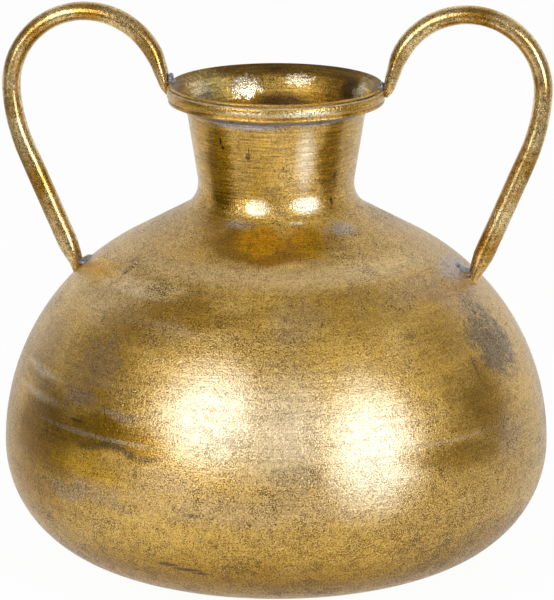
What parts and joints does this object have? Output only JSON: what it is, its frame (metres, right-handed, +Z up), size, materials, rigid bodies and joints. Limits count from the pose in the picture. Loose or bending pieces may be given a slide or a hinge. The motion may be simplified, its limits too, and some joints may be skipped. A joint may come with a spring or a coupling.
{
  "type": "urn vase",
  "caption": "Round-bodied urn vase in spun sheet metal with a waisted, flared neck, a crowned hoop round the mouth and bent rod handles welded from rim to shoulder",
  "frame": {"origin": "On the vase's axis, at the plane that its base stands on", "axes": "+Z up along the axis, +X towards the right handle, +Y away from the viewer; both handles lie in the XZ plane"},
  "size_m": [0.2468, 0.2452, 0.2516],
  "materials": {
    "antique_gold": "brushed, darkened and speckled",
    "handle_gold": "polished over a darkened ground",
    "bare_weld": "bare, heat-tinted weld"
  },
  "bodies": {
    "root": {"bottom_bowl": "antique_gold", "girth_weld": "antique_gold", "shoulder_shell": "antique_gold", "neck_weld": "antique_gold", "neck_sleeve": "antique_gold", "mouth_hoop": "antique_gold", "mouth_hoop_weld": "bare_weld", "left_handle": "handle_gold", "right_handle": "handle_gold", "left_rim_weld": "bare_weld", "right_rim_weld": "bare_weld", "left_foot_weld": "bare_weld", "right_foot_weld": "bare_weld"}
  },
  "joints": []
}
